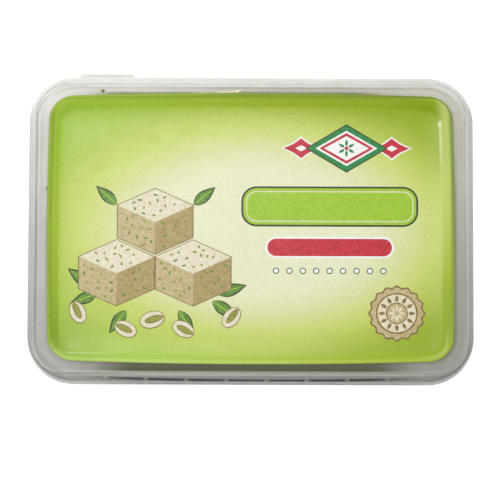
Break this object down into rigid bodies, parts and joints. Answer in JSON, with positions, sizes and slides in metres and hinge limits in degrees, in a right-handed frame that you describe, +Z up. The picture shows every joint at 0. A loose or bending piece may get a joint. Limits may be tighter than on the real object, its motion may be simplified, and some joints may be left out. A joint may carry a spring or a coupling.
{
  "type": "tub of pistachio halva",
  "caption": "Shut rectangular plastic tub of pistachio halva, with a press-on lid whose sunken panel carries a plain printed film.",
  "frame": {"origin": "the middle of the tub's flat underside", "axes": "+X along the tub's length, +Y across it towards the side with the pull tab, +Z up through the lid"},
  "size_m": [0.186, 0.1325, 0.044],
  "materials": {
    "tub_plastic": "frosted, see-through when close to what is behind it",
    "lid_plastic": "frosted, satin",
    "printed_film": "gloss, printed in fields of green",
    "halva": "dry, fibrous, with pieces of pistachio"
  },
  "bodies": {
    "root": {"tub": "tub_plastic", "lid": "lid_plastic", "label": "printed_film", "halva": "halva"}
  },
  "joints": []
}
